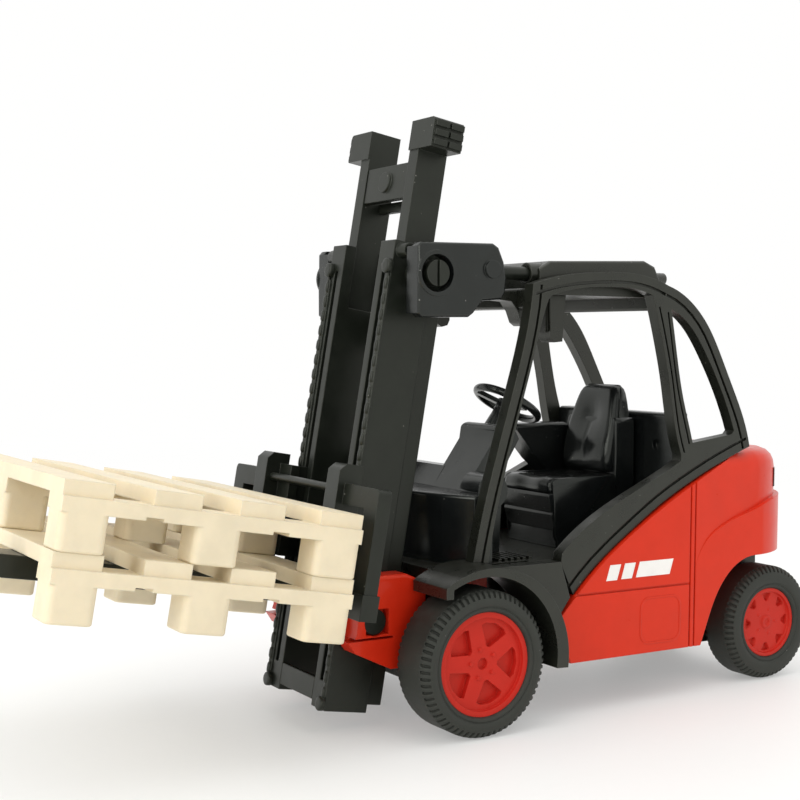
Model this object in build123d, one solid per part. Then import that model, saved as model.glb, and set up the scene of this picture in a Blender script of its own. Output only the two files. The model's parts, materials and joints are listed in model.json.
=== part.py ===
"""Toy forklift truck, 1:50 scale, with a tilting two-stage mast and two toy pallets on its forks.

Units are millimetres.  +X points forward (towards the fork tips), +Y to the truck's left, +Z up.
The truck is modelled with the front axle above X = 0 and the ground at Z = 0, and every solid is
then moved so that the origin is the bottom centre of the whole toy's bounding box.
"""
from build123d import *
import math
import os

# ---------------------------------------------------------------- driving dimensions
WHEELBASE = 44.2
FRONT_R = 7.5            # front tyre radius
REAR_R = 6.75            # rear tyre radius
FRONT_TYRE_Y = (10.2, 16.1)
REAR_TYRE_Y = (7.0, 11.7)
FRONT_HUB_R = 5.3
REAR_HUB_R = 4.1
AXLE_R = 1.0
RUN = 0.05               # radial running clearance of the axles
SLIP = 0.1               # clearance of sliding pieces

BODY_Y = 12.75           # half width of the die-cast shell
SHELL_T = 1.3            # side wall thickness of the shell
SKIRT_Z = 5.55           # lower edge of the side panels
REAR_X = -50.3           # rearmost point of the counterweight
FLOOR_Z = 16.6           # cab floor top
FLOOR_T = 1.3

GUARD_Y = 12.3           # outer half width of the overhead guard
GUARD_T = 1.5            # thickness of its side frames

TILT = 9.4               # backward tilt of the mast at rest, degrees
MAST_FOOT = (13.5, 2.1)  # X and Z of the rails' front face at the mast's lower end
RAIL_Y = (3.7, 6.6)      # inner and outer side of an outer rail
RAIL_DEPTH = 6.8
RAIL_TOP = 48.9
PIVOT_UV = (-2.9, 10.0)  # mast pivot, in mast coordinates (forward, up)
TOP_PIN_UV = (-3.0, 45.8)

INNER_Y = (4.2, 5.95)    # inner rail sides
INNER_U = (-5.05, -1.5)  # inner rail rear and front faces
INNER_V = (13.5, 61.9)   # inner rail lower and upper end at rest

POST_Y = (6.9, 9.3)      # carriage posts
POST_V = (10.6, 25.4)
CARRIAGE_Y = 16.0        # half width of the carriage
FORK_Y = (6.2, 10.8)
FORK_V = (11.5, 13.55)   # underside and top of the fork blades
FORK_TIP = 41.5

PALLET_L = 28.7          # along the forks
PALLET_W = 36.6
PALLET_H = 6.0
PALLET_U0 = 5.55         # rear edge of the pallets in mast coordinates
PALLET_V0 = 8.95         # underside of the lower pallet's blocks

NODES = {}


# ---------------------------------------------------------------- helpers
def block(x, y, z):
    """A box from three (low, high) pairs."""
    size = [abs(b - a) for a, b in (x, y, z)]
    mid = [(a + b) / 2 for a, b in (x, y, z)]
    return Pos(*mid) * Box(*size)


def side_plate(points, y0, y1):
    """A polygon given as (x, z) points, extruded across from y0 to y1."""
    corners = [Vector(x, y0, z) for x, z in points]
    face = make_face(Polyline(*corners, close=True))
    return extrude(face, amount=y1 - y0, dir=(0, 1, 0))


def side_shape(edges, y0, y1):
    """Closed edges drawn in the plane y = 0, extruded across from y0 to y1."""
    face = Pos(0, y0, 0) * make_face(edges)
    return extrude(face, amount=y1 - y0, dir=(0, 1, 0))


def at(points):
    """(x, z) pairs as points of the plane y = 0."""
    return [Vector(x, 0, z) for x, z in points]


def across(x, z, radius, y0, y1):
    """A cylinder along Y."""
    low, high = min(y0, y1), max(y0, y1)
    return Pos(x, (low + high) / 2, z) * Rot(90, 0, 0) * Cylinder(radius, high - low)


def along(x0, x1, y, z, radius):
    """A cylinder along X."""
    return Pos((x0 + x1) / 2, y, z) * Rot(0, 90, 0) * Cylinder(radius, x1 - x0)


def mirrored(shape):
    return mirror(shape, about=Plane.XZ)


def both(shape):
    """A left-hand piece and its right-hand twin, as two solids of one node."""
    return [shape, mirrored(shape)]


def rounded(shape, picker, radius):
    """Fillet the edges that picker(centre) accepts."""
    edges = [e for e in shape.edges() if picker(e.center())]
    return fillet(edges, radius)


MAST = Pos(MAST_FOOT[0], 0, MAST_FOOT[1]) * Rot(0, -TILT, 0)


def on_mast(shape):
    """Place a shape drawn in mast coordinates (x forward, z up the rails)."""
    return MAST * shape


def add(name, shape):
    NODES[name] = shape if isinstance(shape, list) else [shape]


# ---------------------------------------------------------------- wheels
def tyre(radius, bore, y0, y1):
    """A solid tyre with rounded shoulders and a shallow bevel down to the rim."""
    wall = 0.35
    shoulder = 0.9
    profile = Polyline(
        (bore, 0, y0 + wall), (bore + 0.5, 0, y0), (radius - shoulder, 0, y0),
        (radius, 0, y0 + shoulder), (radius, 0, y1 - shoulder),
        (radius - shoulder, 0, y1), (bore + 0.5, 0, y1), (bore, 0, y1 - wall), close=True)
    ring = revolve(make_face(profile), Axis.Z)
    return Rot(-90, 0, 0) * ring


def hub_disc(radius, y0, y1, dish):
    """The wheel disc with a raised rim, its face set back by dish."""
    rim = 0.55
    disc = across(0, 0, radius, y0, y1)
    return disc - across(0, 0, radius - rim, y1 - dish, y1 + 1)


def pocket(r0, r1, half, y0, y1, angle):
    """A wedge recess between two spokes, pointed towards the centre, with a curved outer end."""
    bulge = r1 + 0.4
    outline = [(r0, -0.2), (r1 - 0.25, -half), (r1 + 0.15, -0.75 * half), (bulge, 0), (r1 + 0.15, 0.75 * half),
               (r1 - 0.25, half), (r0, 0.2)]
    return Rot(0, -angle, 0) * side_plate(outline, y0, y1)


def studs(count, radius, size, face, first):
    """A ring of small raised studs on a wheel disc."""
    ring = []
    for n in range(count):
        angle = math.radians(first + 360 / count * n)
        ring.append(across(radius * math.cos(angle), radius * math.sin(angle), size, face - 0.1, face + 0.2))
    return ring


def front_hub(y0, y1):
    """Five broad spokes between wedge recesses, a small centre dimple and a stud on each spoke."""
    face = y1 - 0.45
    hub = hub_disc(FRONT_HUB_R, y0, y1, 0.45)
    for n in range(5):
        hub -= pocket(1.8, 3.85, 1.6, face - 0.7, face + 0.1, 40 + 72 * n)
    for stud in studs(5, 1.5, 0.2, face, 4):
        hub += stud
    hub -= across(0, 0, 0.6, face - 0.4, face + 1)
    return hub - across(0, 0, AXLE_R, y0 - 1, y1 - 1.6)


def rear_hub(y0, y1):
    """A flat disc with seven small wedge pockets near the rim and five studs round the centre."""
    face = y1 - 0.3
    hub = hub_disc(REAR_HUB_R, y0, y1, 0.3)
    for n in range(7):
        hub -= pocket(2.2, 2.95, 0.42, face - 0.5, face + 0.1, 31.7 + 360 / 7 * n)
    for stud in studs(5, 1.0, 0.15, face, 20):
        hub += stud
    return hub - across(0, 0, AXLE_R, y0 - 1, y1 - 1.4)


def wheel_set(end, x, radius, hub_r, tyre_y, make_hub, hub_set):
    """Axle, hubs and tyres of one end of the truck."""
    y0, y1 = tyre_y
    centre = Pos(x, 0, radius)
    left_tyre = centre * tyre(radius, hub_r, y0, y1)
    left_hub = centre * make_hub(y0 + 0.3, y1 - hub_set)
    reach = y1 - hub_set - 1.7
    add(f"{end}_axle", across(x, radius, AXLE_R, -reach, reach))
    add(f"{end}_hub_left", left_hub)
    add(f"{end}_hub_right", mirrored(left_hub))
    add(f"{end}_tyre_left", left_tyre)
    add(f"{end}_tyre_right", mirrored(left_tyre))


# ---------------------------------------------------------------- chassis
SCREWS_X = (-14.0, -36.5)
SCREW_TOP = 11.5
SCREW_R = 0.8
BASE_Z = (4.2, 5.5)      # underside and top of the base plate
SEAMS_X = (-30.15, -30.85)


def base_plate():
    """Floor plate with a bearing block for each axle and counterbored screw holes."""
    plate = block((-41, 3.2), (-6.8, 6.8), BASE_Z)
    front = block((-3.2, 3.2), (-9.7, 9.7), (BASE_Z[0], FRONT_R + 2.7))
    front += block((-3.2, 3.2), (-6.0, 6.0), (BASE_Z[0], FLOOR_Z - FLOOR_T))
    rear = block((-WHEELBASE - 2.6, -WHEELBASE + 3.3), (-6.5, 6.5), (BASE_Z[0], 15.2))
    base = plate + front + rear
    base -= across(0, FRONT_R, AXLE_R + RUN, -20, 20)
    base -= across(-WHEELBASE, REAR_R, AXLE_R + RUN, -20, 20)
    for x in SCREWS_X:
        base -= Pos(x, 0, 5) * Cylinder(0.95, 4)
        base -= Pos(x, 0, BASE_Z[0] + 0.3) * Cylinder(1.75, 0.62)
    return base


def base_screw(x):
    """A pan-head screw with a cross recess, head down."""
    head = Pos(x, 0, BASE_Z[0] + 0.33) * Cylinder(1.55, 0.55)
    for turn in (0, 90):
        head -= Pos(x, 0, BASE_Z[0]) * Rot(0, 0, turn) * Box(1.7, 0.32, 0.6)
    shank_low = BASE_Z[0] + 0.4
    shank = Pos(x, 0, (shank_low + SCREW_TOP) / 2) * Cylinder(SCREW_R, SCREW_TOP - shank_low)
    return head + shank


ARCH = [(-31.9, SKIRT_Z), (-33.1, 8.6), (-34.9, 12.1), (-37.3, 14.4), (-40.7, 15.3)]
UPPER_EDGE = [(-38.7, 27.6), (-29.9, 23.75), (-22.6, 19.6), (-17.0, 15.65), (-13.6, 12.5), (-11.3, 10.1)]


def shell_outline():
    """Side outline of the die-cast shell, from the front foot round the rear wheel arch."""
    return [
        Line(*at([(-13.2, SKIRT_Z), ARCH[0]])),
        Spline(*at(ARCH)),
        Line(*at([ARCH[-1], (REAR_X + 0.5, 15.5)])),
        ThreePointArc(*at([(REAR_X + 0.5, 15.5), (REAR_X, 18.5), (REAR_X + 0.4, 21.6)])),
        Line(*at([(REAR_X + 0.4, 21.6), (REAR_X + 1.3, 22.2)])),
        ThreePointArc(*at([(REAR_X + 1.3, 22.2), (REAR_X + 2.0, 25.6), (REAR_X + 4.4, 27.6)])),
        Line(*at([(REAR_X + 4.4, 27.6), UPPER_EDGE[0]])),
        Spline(*at(UPPER_EDGE)),
        Line(*at([UPPER_EDGE[-1], (-13.2, SKIRT_Z)])),
    ]


NARROWING = 0.55         # how far the upper counterweight closes in towards the rear, each side
CREASE = [(-30.9, 14.2), (-32.0, 16.8), (-33.6, 18.3), (-35.4, 19.2), (-37.2, 19.85), (-39.9, 20.6), (-42.2, 21.4),
          (-45.0, 21.9), (-51.0, 22.4)]


def shell_plan(inset, narrowing=0.0):
    """Plan outline: straight sides, rounded rear corners and a slightly bowed rear face."""
    half = BODY_Y - inset
    corner = 9.0 - inset
    rear = REAR_X + inset + narrowing / 2
    bow = 1.1
    diag = corner * (1 - math.sqrt(0.5))
    start = rear + corner
    seam = Vector(-30.85, half, 0)
    left = [Vector(-9, half, 0), seam, Vector(start, half - narrowing, 0), Vector(rear + bow, half - corner, 0)]
    right = [Vector(p.X, -p.Y, 0) for p in left]
    mid_left = Vector(rear + bow + diag * 0.95, half - narrowing - diag, 0)
    mid_right = Vector(mid_left.X, -mid_left.Y, 0)
    return make_face([
        Line(left[0], left[1]),
        Line(left[1], left[2]),
        ThreePointArc(left[2], mid_left, left[3]),
        ThreePointArc(left[3], Vector(rear, 0, 0), right[3]),
        ThreePointArc(right[3], mid_right, right[2]),
        Line(right[2], right[1]),
        Line(right[1], right[0]),
        Line(right[0], left[0]),
    ])


def upper_shell():
    """The narrowed upper part of the shell with its top edge rounded in steps."""
    steps = [(25.3, 0.0), (26.1, 0.12), (26.75, 0.42), (27.25, 0.95), (27.6, 1.9)]
    form = extrude(shell_plan(0, NARROWING), steps[0][0])
    for (z0, inset0), (z1, inset1) in zip(steps, steps[1:]):
        faces = [Pos(0, 0, z0) * shell_plan(inset0, NARROWING), Pos(0, 0, z1) * shell_plan(inset1, NARROWING)]
        form += loft(faces, ruled=True)
    return form


def lower_bulge():
    """The part of the shell below the crease, which stands proud over the rear wheel."""
    crease = [Line(*at([(-5, 0), (-5, 40)])), Line(*at([(-5, 40), (CREASE[0][0], 40)])),
              Line(*at([(CREASE[0][0], 40), CREASE[0]])), Spline(*at(CREASE)),
              Line(*at([CREASE[-1], (CREASE[-1][0], 0)])), Line(*at([(CREASE[-1][0], 0), (-5, 0)]))]
    return side_shape(crease, -20, 20) & extrude(shell_plan(0), 40)


def side_groove(x, z, side):
    """A shallow groove cut into one outer side face, from (low, high) pairs in X and Z."""
    depth = 0.22
    return block(x, sorted((side * (BODY_Y - depth), side * (BODY_Y + 1))), z)


def screw_hole(x):
    """Bore for a screw in the piece above the base plate."""
    low, high = BASE_Z[1] - 1, SCREW_TOP + 0.5
    return Pos(x, 0, (low + high) / 2) * Cylinder(SCREW_R, high - low)


def body_shell():
    """Side panels and counterweight in one casting."""
    shell = side_shape(shell_outline(), -20, 20) & (upper_shell() + lower_bulge())
    inner = BODY_Y - SHELL_T
    shell -= block((-33.0, -5), (-inner, inner), (0, 40))
    shell += block((-WHEELBASE + 3.4, -33.1), (-6.5, 6.5), (BASE_Z[1], 17))
    shell -= screw_hole(SCREWS_X[1])
    for side in (1, -1):
        for x in SEAMS_X:
            shell -= side_groove((x - 0.11, x + 0.11), (SKIRT_Z - 1, 30), side)
        shell -= side_groove((SEAMS_X[0], -12), (12.7, 12.92), side)
    for lamp in rear_lamps():
        shell -= lamp
    return shell


def rear_lamps():
    """Two lamps let into the rear corners of the counterweight."""
    band = extrude(shell_plan(-0.15, NARROWING), 40) - extrude(shell_plan(0.8, NARROWING), 40)
    return both(block((-50, -45.3), (9.3, 12.6), (22.9, 25.2)) & band)


def mast_bracket():
    """Red front bracket: a window plate outside each rail, joined by a tie behind the mast."""
    outline = [(10.9, 14.1), (10.2, 15.4), (8.7, 16.2), (5.5, 16.2), (3.2, 15.2), (3.2, 6.7), (7.3, 6.6),
               (11.5, 8.6), (12.3, 9.8), (11.5, 9.95), (11.3, 10.5)]
    plate = side_plate(outline, 7.1, 9.4)
    plate = rounded(plate, lambda c: c.Y > 9.3 and c.Z > 13.5, 0.4)
    plate -= side_plate([(7.6, 10.25), (10.25, 10.25), (10.25, 12.85), (7.6, 12.85)], 8.2, 12)
    plate -= block((7.0, 13.0), (8.2, 10.0), (9.78, 10.02))
    pivot = on_rail(*PIVOT_UV)
    plate -= across(pivot.X, pivot.Z, PIN_R + RUN, 6, 12)
    return plate + mirrored(plate) + block((3.3, 4.2), (-7.2, 7.2), (6.8, 14.2))


# ---------------------------------------------------------------- cab
ARCH_INNER_R = 8.9       # underside of the front fender, round the axle
ARCH_OUTER = (-0.5, 7.4, 9.85)   # X, Z and radius of its upper side, so that it thickens to the rear


def arch_outer(y0, y1):
    x, z, radius = ARCH_OUTER
    return across(x, z, radius, y0, y1)


def fender():
    """Front fender: a wide arch over the tyre with a front lip, and the panel that closes it to the shell."""
    y0, y1 = 9.8, 16.0
    front = 4.95
    ring = arch_outer(y0, y1) - across(0, FRONT_R, ARCH_INNER_R, y0 - 1, y1 + 1)
    keep = side_plate([(front, FRONT_R), (front, 30), (-30, 30), (-30, 5.4), (-9, 6.2), (0, FRONT_R)], 5, 20)
    lip = block((front - 0.85, front), (y0, y1), (14.5, 15.5))
    skirt = side_plate([(-8.6, 6.3), (-9.6, 6.3), (-12.75, 5.6), (-11.0, 10.0), (-13.0, 12.7), (-11.7, FLOOR_Z),
                        (-2.0, FLOOR_Z)], 10.9, 12.7)
    return (ring & keep) + lip + (skirt - across(0, FRONT_R, ARCH_INNER_R + 0.1, 5, 20))


def cab_floor():
    """Cab floor with its ribbed step and both front fenders."""
    top = (FLOOR_Z - FLOOR_T, FLOOR_Z)
    floor = block((-32.8, -18.0), (-11.35, 11.35), top) + block((-18.5, 3.2), (-9.9, 9.9), top)
    floor += block((-18.5, -9.0), (-GUARD_Y + GUARD_T, GUARD_Y - GUARD_T), top)
    for n in range(6):
        x = -10.2 + 0.8 * n
        floor += block((x, x + 0.4), (5.3, 9.6), (FLOOR_Z - 0.1, FLOOR_Z + 0.3))
    post_low = BASE_Z[1]
    floor += Pos(SCREWS_X[0], 0, (post_low + FLOOR_Z - 0.5) / 2) * Cylinder(2.4, FLOOR_Z - 0.5 - post_low)
    arch = fender()
    return floor + arch + mirrored(arch) - screw_hole(SCREWS_X[0])


DASH_Z = 23.9            # top of the box behind the mast


def dashboard():
    """Full-width box with a bowed front, and behind it a low wall and the pod of the steering column."""
    half = 10.7
    plan = make_face([
        ThreePointArc(Vector(-1.9, -half, FLOOR_Z), Vector(1.2, 0, FLOOR_Z), Vector(-1.9, half, FLOOR_Z)),
        Line(Vector(-1.9, half, FLOOR_Z), Vector(-4.2, half, FLOOR_Z)),
        Line(Vector(-4.2, half, FLOOR_Z), Vector(-4.2, -half, FLOOR_Z)),
        Line(Vector(-4.2, -half, FLOOR_Z), Vector(-1.9, -half, FLOOR_Z)),
    ])
    box = rounded(extrude(plan, amount=DASH_Z - FLOOR_Z, dir=(0, 0, 1)), lambda c: c.Z > DASH_Z - 0.1, 0.4)
    box -= arch_outer(9.75, 20) + arch_outer(-20, -9.75)
    wall = side_plate([(-3.9, 23.4), (-4.4, DASH_Z), (-5.8, 26.0), (-7.2, 26.0), (-7.2, FLOOR_Z),
                       (-3.9, FLOOR_Z)], -8.6, -1.0)
    pod = side_plate([(-3.9, 23.4), (-4.4, DASH_Z), (-6.0, 26.2), (-8.0, 29.0), (-8.3, 31.0), (-10.9, 30.5),
                      (-11.5, 29.2), (-9.4, 25.8), (-9.0, FLOOR_Z), (-3.9, FLOOR_Z)], -1.4, 5.2)
    pod = rounded(pod, lambda c: c.Z > 30.4, 0.8)
    drum = across(-5.75, DASH_Z + 0.1, 1.9, 5.0, 8.5)
    return box + wall + pod + drum


WHEEL_CENTRE = (-13.6, 32.9)
WHEEL_LEAN = 30


def steering_column():
    """Column that carries the steering wheel, square to it, out of the dashboard's pod."""
    lean = Pos(WHEEL_CENTRE[0], 0, WHEEL_CENTRE[1]) * Rot(0, -WHEEL_LEAN, 0)
    column = lean * (Pos(0, 0, -3.6) * Cone(1.7, 1.1, 5.0))
    return column - NODES["dashboard"][0]


def steering_wheel():
    """Rim, hub and three spokes."""
    lean = Pos(WHEEL_CENTRE[0], 0, WHEEL_CENTRE[1]) * Rot(0, -WHEEL_LEAN, 0)
    wheel = Torus(3.75, 0.45) + Pos(0, 0, -0.5) * Cylinder(1.15, 1.2)
    for turn in (90, 210, 330):
        wheel += Rot(0, 0, turn) * block((0.6, 3.6), (-0.42, 0.42), (-0.55, -0.05))
    return lean * wheel


def seat_pedestal():
    """Stepped box under the seat, each step standing a little forward of the one below."""
    pedestal = block((-25.7, -17.3), (-4.6, 4.6), (FLOOR_Z, 18.6))
    for n, (z0, z1) in enumerate(((18.6, 20.7), (20.7, 22.8))):
        x = -17.3 + 0.5 * (n + 1)
        pedestal += side_plate([(-25.7, z0), (x - 0.35, z0), (x + 0.15, z1 - 0.3), (x, z1), (-25.7, z1)],
                               -4.6, 4.6)
    return pedestal


def seat_cushion():
    """Squab of the seat, rounded at its front edge."""
    outline = [(-25.7, 22.8), (-16.3, 22.8), (-16.1, 23.7), (-17.0, 24.7), (-25.7, 24.7)]
    return rounded(side_plate(outline, -4.6, 4.6), lambda c: c.Z > 24.6 and abs(c.Y) > 4, 0.4)


def seat_back():
    """Backrest that leans back and narrows to its top, on a shell behind it."""
    shell = block((-29.1, -25.7), (-4.5, 4.5), (FLOOR_Z, 31.2))
    shell = rounded(shell, lambda c: c.Z > 31.1, 0.6)
    profile = [(-25.7, 24.8), (-25.0, 24.8), (-24.7, 26.4), (-25.3, 30.0), (-26.8, 34.2), (-27.4, 35.0),
               (-28.1, 35.0), (-28.6, 34.4), (-28.6, 30.6), (-25.7, 30.6)]
    front = make_face(Polyline((-20, -4.3, 24.8), (-20, 4.3, 24.8), (-20, 4.2, 30.4), (-20, 3.6, 33.2),
                               (-20, 2.7, 35.0), (-20, -2.7, 35.0), (-20, -3.6, 33.2), (-20, -4.2, 30.4),
                               close=True))
    pad = side_plate(profile, -5, 5) & extrude(front, amount=10, dir=(-1, 0, 0))
    return shell + pad


def armrest_console():
    """Flared lever console on the driver's right."""
    outline = [(-18.0, 30.2), (-26.4, 30.2), (-26.4, 24.0), (-24.0, 24.0), (-21.9, 25.8)]
    console = rounded(side_plate(outline, -8.4, -4.9), lambda c: c.Z > 30.1, 0.5)
    return console + block((-26.4, -23.8), (-7.9, -5.3), (FLOOR_Z, 24.5))


def rear_bulkhead():
    """Wall behind the seat with the engine cover that slopes back on to the counterweight."""
    inside = GUARD_Y - GUARD_T - 0.1
    wall = block((-31.2, -29.5), (-inside, inside), (FLOOR_Z, 31.9))
    wall = rounded(wall, lambda c: c.Z > 31.8 and c.X > -29.6, 0.5)
    cover = side_plate([(-31.2, 17.6), (-32.8, 17.6), (-32.8, 25.75), (-38.5, 28.0), (-38.5, 28.3),
                        (-31.2, 28.7)], -inside, inside)
    hole = Pos(-29.5, 7.4, 28.2) * Rot(0, 90, 0) * Cylinder(0.6, 1.2)
    return wall + cover - hole


# ---------------------------------------------------------------- overhead guard
POST_FRONT = [(-0.6, FLOOR_Z), (-3.3, 27.6), (-5.2, 33.9), (-6.4, 38.0), (-7.4, 42.2), (-7.9, 46.0)]
ROOF_EDGE = [(-7.9, 46.0), (-11.4, 46.9), (-16.8, 47.5), (-22.5, 47.4), (-26.6, 46.3)]
REAR_EDGE = [(-26.6, 46.3), (-30.5, 44.2), (-32.6, 42.0), (-34.7, 38.6), (-36.5, 35.2), (-38.0, 32.3), (-39.5, 28.0)]
SILL_LOW = [(-39.3, 27.95), (-34.3, 26.05), (-29.8, 24.0), (-25.3, 21.6), (-22.6, 19.85), (-17.0, 15.9),
            (-13.75, 12.85)]
SILL_TOP = [(-12.2, 17.4), (-14.7, 19.5), (-17.4, 21.2), (-23.0, 23.9), (-28.9, 26.7)]
POST_REAR = [(-2.5, FLOOR_Z), (-4.9, 27.6), (-6.75, 33.9), (-7.95, 38.0), (-9.1, 42.2), (-9.9, 44.4)]
DOOR_TOP = [(-10.4, 44.9), (-13.5, 45.6), (-18.0, 45.95), (-22.5, 45.7), (-24.3, 45.2)]
DOOR_REAR = [(-24.8, 43.8), (-26.1, 39.2), (-26.9, 35.8), (-27.6, 32.0), (-28.9, 27.4)]
REAR_WINDOW_FRONT = [(-27.1, 43.5), (-27.9, 39.2), (-29.1, 33.6), (-30.0, 30.7), (-30.6, 28.7)]
REAR_WINDOW_BACK = [(-27.1, 43.7), (-30.3, 41.5), (-32.3, 38.9), (-34.4, 35.5), (-36.2, 31.9), (-37.0, 29.9)]


def curve_through(points):
    return Spline(*at(points))


def straight(*points):
    return [Line(*at(pair)) for pair in zip(points, points[1:])]


def guard_outline():
    """Outer edge of a side frame, closed along the cab floor and the sill."""
    return [curve_through(POST_FRONT), curve_through(ROOF_EDGE), curve_through(REAR_EDGE),
            *straight(REAR_EDGE[-1], SILL_LOW[0]), curve_through(SILL_LOW),
            *straight(SILL_LOW[-1], (-11.9, FLOOR_Z), POST_FRONT[0])]


def door_opening():
    return [curve_through(POST_REAR), *straight(POST_REAR[-1], DOOR_TOP[0]), curve_through(DOOR_TOP),
            *straight(DOOR_TOP[-1], DOOR_REAR[0]), curve_through(DOOR_REAR), *straight(DOOR_REAR[-1], SILL_TOP[-1]),
            curve_through(SILL_TOP[::-1]), *straight(SILL_TOP[0], (-11.9, FLOOR_Z - 1), (-2.5, FLOOR_Z - 1),
                                                    POST_REAR[0])]


def rear_window():
    return [curve_through(REAR_WINDOW_FRONT), *straight(REAR_WINDOW_FRONT[-1], (-36.6, 29.5), REAR_WINDOW_BACK[-1]),
            curve_through(REAR_WINDOW_BACK), *straight(REAR_WINDOW_BACK[0], REAR_WINDOW_FRONT[0])]


def groove(points, near, far, side=-1):
    """A narrow band that follows a curve at a distance, as an outline of (x, z) points."""
    curve = curve_through(points)
    steps = 14
    edge_near, edge_far = [], []
    for n in range(steps + 1):
        place, heading = curve @ (n / steps), curve % (n / steps)
        normal = Vector(heading.Z, 0, -heading.X) * side
        edge_near.append(place + normal * near)
        edge_far.append(place + normal * far)
    return [(p.X, p.Z) for p in edge_near + edge_far[::-1]]


def guard_side():
    """Left side frame: posts, roof rail and sill, with grooves that part its outer and inner beads."""
    y0 = GUARD_Y - GUARD_T
    depth = 0.4
    frame = side_shape(guard_outline(), y0, GUARD_Y)
    frame -= side_shape(door_opening(), y0 - 1, GUARD_Y + 1)
    frame -= side_shape(rear_window(), y0 - 1, GUARD_Y + 1)
    frame -= arch_outer(y0 - 1, GUARD_Y + 1)
    bands = [groove(curve, 0.9, 1.25) for curve in (POST_FRONT, ROOF_EDGE, REAR_EDGE, SILL_LOW)]
    bands.append(groove(DOOR_REAR, 0.4, 0.65, 1))
    bands.append(groove(REAR_WINDOW_FRONT, 0.4, 0.65))
    for band in bands:
        frame -= side_plate(band, GUARD_Y - depth, GUARD_Y + 1)
    return frame


CYL_YZ = (8.9, 47.2)      # tilt cylinder axis
ROD_R = 0.75
BARREL_R = 1.2
ROOF_X = (-27.0, -10.2)


def roof_panel():
    """Raised roof cap with rounded edges, bored for the two tilt cylinder barrels."""
    half = 10.3
    outline = [(ROOF_X[1], 45.0), (ROOF_X[1], 47.8), (ROOF_X[1] - 1.5, 48.6), (-24.9, 49.1),
               (ROOF_X[0] + 0.6, 48.5), (ROOF_X[0], 47.4), (ROOF_X[0], 45.0)]
    panel = side_plate(outline, -half, half)
    panel = rounded(panel, lambda c: abs(c.Y) > half - 0.01 and c.Z > 47.5, 0.4)
    for y in (CYL_YZ[0], -CYL_YZ[0]):
        panel -= along(-30, 0, y, CYL_YZ[1], BARREL_R)
    for n in range(4):
        x = -13.5 - 3.3 * n
        panel -= block((x - 0.9, x + 0.9), (-6.4, 6.4), (48.3, 50))
    return panel


def guard_cross_bar(x, z):
    """A bar across the guard between the side frames."""
    half = GUARD_Y - GUARD_T
    return rounded(block(x, (-half, half), z), lambda c: abs(c.Y) < 1, 0.3)


def tilt_barrels():
    """Tilt cylinder barrels: a collar at the front, a thinner tail out of the back."""
    y, z = CYL_YZ
    barrel = along(ROOF_X[0] + 0.4, ROOF_X[1] + 0.9, y, z, BARREL_R)
    barrel += along(ROOF_X[0] - 1.8, ROOF_X[0] + 1, y, z, 0.7)
    barrel -= along(-24.0, 0, y, z, ROD_R + RUN)
    return both(barrel)


def work_lamps():
    """Lamps hung in front of the guard's front cross bar."""
    lamp = side_plate([(-8.0, 45.3), (-4.9, 45.2), (-4.9, 44.4), (-7.3, 44.2), (-8.1, 43.2), (-8.6, 42.0),
                       (-9.2, 41.6), (-10.0, 41.8), (-10.3, 42.4), (-10.3, 43.4), (-8.0, 43.4)], 7.1, 9.3)
    return both(lamp)


def cab_mirror():
    """Mirror block that hangs from the roof beside the left front post."""
    body = side_plate([(-13.2, 45.0), (-13.4, 40.4), (-13.9, 39.9), (-15.0, 40.0), (-15.4, 45.0)], 6.0, 8.2)
    return body + block((-14.0, -13.0), (6.5, 7.7), (41.0, 44.2))


# ---------------------------------------------------------------- mast
PIN_R = 1.35


def on_rail(u, v):
    """A point of the mast's side plane as a point of the truck."""
    lean = math.radians(TILT)
    x = MAST_FOOT[0] + u * math.cos(lean) - v * math.sin(lean)
    z = MAST_FOOT[1] + u * math.sin(lean) + v * math.cos(lean)
    return Vector(x, 0, z)


CAVITY_U = (INNER_U[0] - SLIP, INNER_U[1] + SLIP)
SLOT_Y = (4.76, 5.43)
SLOT_V = (3.2, 46.0)


def mast_rail():
    """Left outer rail: a box section, slotted at the front, open at the top for the inner rail."""
    y0, y1 = RAIL_Y
    rail = block((-5.0, 0), (y0, y1), (0.3, RAIL_TOP)) + block((-RAIL_DEPTH, -4.9), (y0, y1 - 0.3), (1.1, RAIL_TOP))
    rail -= block(CAVITY_U, (INNER_Y[0] - SLIP, INNER_Y[1] + SLIP), (SLOT_V[0], RAIL_TOP + 1))
    rail -= block((CAVITY_U[1] - 0.5, 1), SLOT_Y, SLOT_V)
    rail -= block((-4.7, CAVITY_U[1]), (y0 - 1, INNER_Y[0]), (42.2, RAIL_TOP + 1))
    rail += across(-1.0, 47.9, 0.75, y1 - 0.1, 8.2)
    return on_mast(rail)


def chain_strip():
    """Moulded lift chain along the left rail's outer front corner, with a boss at each end."""
    pitch = 1.6
    links = 27
    strip = block((0, 0.15), (5.75, RAIL_Y[1]), (1.4, 45.4))
    for n in range(links):
        v = 1.9 + pitch * n
        strip += block((0, 0.42), (5.85, RAIL_Y[1] + 0.12), (v, v + 1.15))
    for v, y in ((0.95, 6.0), (46.1, 6.2)):
        strip += Pos(0.3, y, v) * Rot(0, 90, 0) * Cylinder(0.8, 0.6)
    return on_mast(strip)


def pivot_pins():
    """Round bosses on the rails' outer sides on which the mast tilts."""
    u, v = PIVOT_UV
    return both(on_mast(across(u, v, PIN_R, RAIL_Y[1], 9.0)))


def top_pins():
    """Slotted pins near the mast's top, which push the tilt plates."""
    u, v = TOP_PIN_UV
    pin = across(u, v, PIN_R, RAIL_Y[1], 11.0) - block((u - 2, u + 2), (10.6, 12), (v - 0.15, v + 0.15))
    return both(on_mast(Pos(u, 0, v) * Rot(0, TILT, 0) * Rot(0, 90, 0) * Pos(-u, 0, -v) * pin))


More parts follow.
